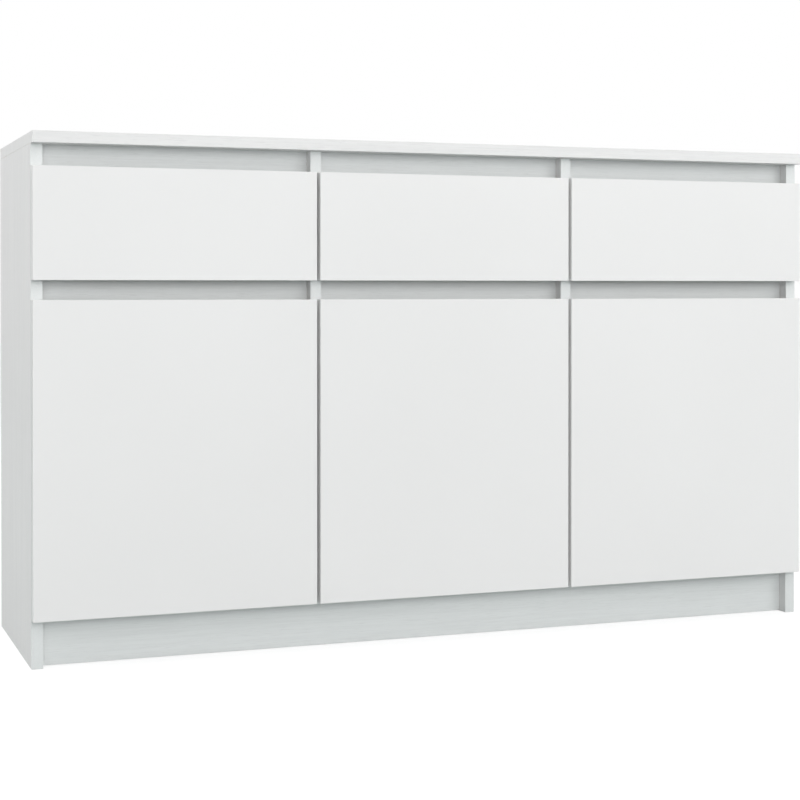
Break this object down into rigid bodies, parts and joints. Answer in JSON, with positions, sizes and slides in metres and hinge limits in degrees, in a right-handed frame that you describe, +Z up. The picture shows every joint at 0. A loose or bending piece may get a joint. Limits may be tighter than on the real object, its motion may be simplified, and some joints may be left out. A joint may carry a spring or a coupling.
{
  "type": "sideboard",
  "caption": "Low white sideboard of faced board: a row of handle-less drawers on roller runners above a row of cup-hinged doors with shelves behind, on a set-back plinth.",
  "frame": {"origin": "on the floor, at the centre of the footprint", "axes": "+X to the viewer's right along the front, +Y from the front to the back, +Z up"},
  "size_m": [1.2, 0.35, 0.73],
  "materials": {
    "white_melamine": "white melamine-faced chipboard, faint wood-pore texture, banded edges",
    "white_front": "smooth satin white faced chipboard, banded edges",
    "white_hardboard": "thin hardboard, white lacquered inside, brown outside",
    "white_powder_coat": "white powder-coated sheet steel",
    "white_nylon": "moulded nylon",
    "nickel_steel": "nickel-plated pressed steel",
    "zinc_steel": "bright zinc-plated steel",
    "zinc_cam": "cast zinc, raw",
    "beech_dowel": "fluted beech"
  },
  "bodies": {
    "carcass": {"top_panel": "white_melamine", "side_panel_left": "white_melamine", "side_panel_right": "white_melamine", "divider_left": "white_melamine", "divider_right": "white_melamine", "bottom_panel": "white_melamine", "plinth": "white_melamine", "upper_rail_left": "white_melamine", "lower_rail_left": "white_melamine", "upper_rail_middle": "white_melamine", "lower_rail_middle": "white_melamine", "upper_rail_right": "white_melamine", "lower_rail_right": "white_melamine", "shelf_left": "white_melamine", "shelf_middle": "white_melamine", "shelf_right": "white_melamine", "back_sheets": "white_hardboard", "back_nails": "zinc_steel", "shelf_pins": "nickel_steel", "cam_locks": "zinc_cam", "cam_bolts": "zinc_steel", "dowels": "beech_dowel", "fixing_screws": "zinc_steel", "hinge_plates": "nickel_steel", "hinge_arms": "nickel_steel", "hinge_arm_screws": "zinc_steel", "cabinet_runners": "white_powder_coat"},
    "drawer_left": {"drawer_front_left": "white_front", "drawer_side_left_left": "white_melamine", "drawer_side_right_left": "white_melamine", "drawer_back_left": "white_melamine", "drawer_bottom_left": "white_hardboard", "drawer_runners_left": "white_powder_coat"},
    "drawer_roller_pair_left": {"drawer_rollers_left": "white_nylon"},
    "cabinet_roller_pair_left": {"cabinet_rollers_left": "white_nylon"},
    "door_left_assembly": {"door_left": "white_front", "hinge_cups_left": "nickel_steel", "hinge_pins_left": "zinc_steel"},
    "drawer_middle": {"drawer_front_middle": "white_front", "drawer_side_left_middle": "white_melamine", "drawer_side_right_middle": "white_melamine", "drawer_back_middle": "white_melamine", "drawer_bottom_middle": "white_hardboard", "drawer_runners_middle": "white_powder_coat"},
    "drawer_roller_pair_middle": {"drawer_rollers_middle": "white_nylon"},
    "cabinet_roller_pair_middle": {"cabinet_rollers_middle": "white_nylon"},
    "door_middle_assembly": {"door_middle": "white_front", "hinge_cups_middle": "nickel_steel", "hinge_pins_middle": "zinc_steel"},
    "drawer_right": {"drawer_front_right": "white_front", "drawer_side_left_right": "white_melamine", "drawer_side_right_right": "white_melamine", "drawer_back_right": "white_melamine", "drawer_bottom_right": "white_hardboard", "drawer_runners_right": "white_powder_coat"},
    "drawer_roller_pair_right": {"drawer_rollers_right": "white_nylon"},
    "cabinet_roller_pair_right": {"cabinet_rollers_right": "white_nylon"},
    "door_right_assembly": {"door_right": "white_front", "hinge_cups_right": "nickel_steel", "hinge_pins_right": "zinc_steel"}
  },
  "joints": [
    {"name": "drawer_slide_left", "type": "slide", "parent": "carcass", "child": "drawer_left", "axis": [0, -1, 0], "range_m": [0, 0.22]},
    {"name": "drawer_roller_spin_left", "type": "hinge", "parent": "drawer_left", "child": "drawer_roller_pair_left", "pos_m": [-0.39467, 0.119, 0.54515], "axis": [1, 0, 0], "range_deg": [0, 1700]},
    {"name": "cabinet_roller_spin_left", "type": "hinge", "parent": "carcass", "child": "cabinet_roller_pair_left", "pos_m": [-0.39467, -0.142, 0.5462], "axis": [1, 0, 0], "range_deg": [0, 1400]},
    {"name": "door_hinge_left", "type": "hinge", "parent": "carcass", "child": "door_left_assembly", "pos_m": [-0.5925, -0.1675, 0.2845], "axis": [0, 0, -1], "range_deg": [0, 95]},
    {"name": "drawer_slide_middle", "type": "slide", "parent": "carcass", "child": "drawer_middle", "axis": [0, -1, 0], "range_m": [0, 0.22]},
    {"name": "drawer_roller_spin_middle", "type": "hinge", "parent": "drawer_middle", "child": "drawer_roller_pair_middle", "pos_m": [0, 0.119, 0.54515], "axis": [1, 0, 0], "range_deg": [0, 1700]},
    {"name": "cabinet_roller_spin_middle", "type": "hinge", "parent": "carcass", "child": "cabinet_roller_pair_middle", "pos_m": [0, -0.142, 0.5462], "axis": [1, 0, 0], "range_deg": [0, 1400]},
    {"name": "door_hinge_middle", "type": "hinge", "parent": "carcass", "child": "door_middle_assembly", "pos_m": [-0.18883, -0.1675, 0.2845], "axis": [0, 0, -1], "range_deg": [0, 95]},
    {"name": "drawer_slide_right", "type": "slide", "parent": "carcass", "child": "drawer_right", "axis": [0, -1, 0], "range_m": [0, 0.22]},
    {"name": "drawer_roller_spin_right", "type": "hinge", "parent": "drawer_right", "child": "drawer_roller_pair_right", "pos_m": [0.39467, 0.119, 0.54515], "axis": [1, 0, 0], "range_deg": [0, 1700]},
    {"name": "cabinet_roller_spin_right", "type": "hinge", "parent": "carcass", "child": "cabinet_roller_pair_right", "pos_m": [0.39467, -0.142, 0.5462], "axis": [1, 0, 0], "range_deg": [0, 1400]},
    {"name": "door_hinge_right", "type": "hinge", "parent": "carcass", "child": "door_right_assembly", "pos_m": [0.5899, -0.1675, 0.2845], "axis": [0, 0, 1], "range_deg": [0, 95]}
  ],
  "couplings": [
    {"joint": "drawer_roller_spin_left", "follows": "drawer_slide_left", "rad_per_m": 129.87},
    {"joint": "cabinet_roller_spin_left", "follows": "drawer_slide_left", "rad_per_m": 108.7},
    {"joint": "drawer_roller_spin_middle", "follows": "drawer_slide_middle", "rad_per_m": 129.87},
    {"joint": "cabinet_roller_spin_middle", "follows": "drawer_slide_middle", "rad_per_m": 108.7},
    {"joint": "drawer_roller_spin_right", "follows": "drawer_slide_right", "rad_per_m": 129.87},
    {"joint": "cabinet_roller_spin_right", "follows": "drawer_slide_right", "rad_per_m": 108.7}
  ]
}
